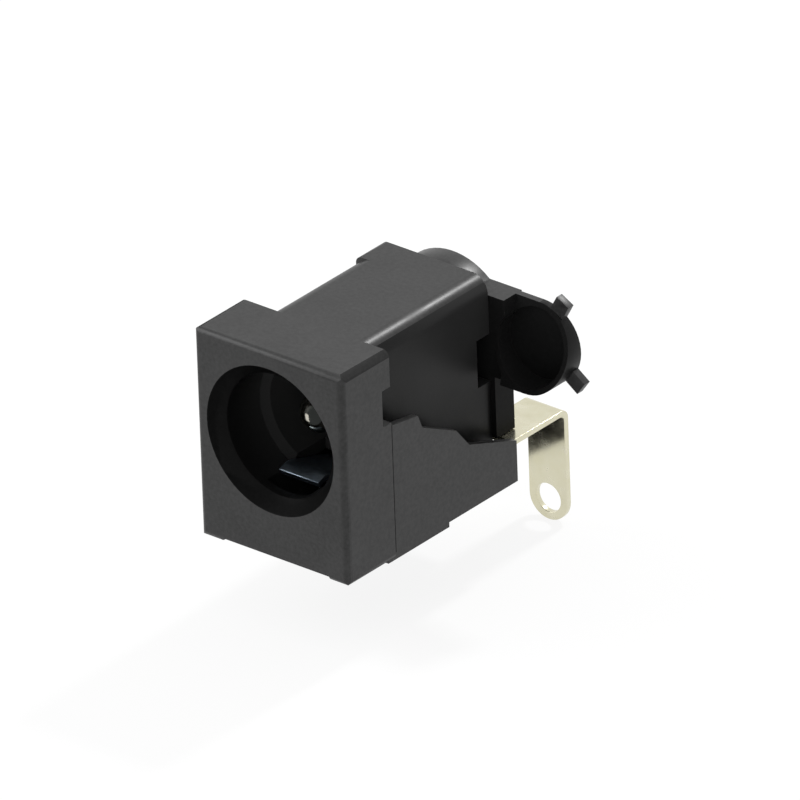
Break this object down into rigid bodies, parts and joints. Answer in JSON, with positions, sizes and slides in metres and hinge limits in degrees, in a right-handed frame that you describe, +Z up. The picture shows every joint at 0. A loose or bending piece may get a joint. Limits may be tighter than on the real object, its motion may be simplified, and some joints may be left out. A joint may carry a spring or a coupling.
{
  "type": "dc barrel jack",
  "caption": "Black moulded dc barrel jack with a square front flange, plug socket with centre pin, side contact pocket and solder lugs with eyelets at the back.",
  "frame": {"origin": "middle of the front face's foot line, on the plane that the feet stand on", "axes": "+X to the right seen from the front, +Y back from the plug mouth, +Z up from the board"},
  "size_m": [0.0127, 0.0168, 0.015],
  "materials": {
    "black_moulding": "finely textured matte black moulding",
    "black_cap": "matte black moulding",
    "pin_plating": "bright nickel plate",
    "tin_plating": "satin tin plate"
  },
  "bodies": {
    "root": {"housing": "black_moulding", "rear_cap": "black_cap", "centre_pin": "pin_plating", "pin_terminal": "tin_plating", "sleeve_contact": "tin_plating", "shunt_contact": "tin_plating"}
  },
  "joints": []
}
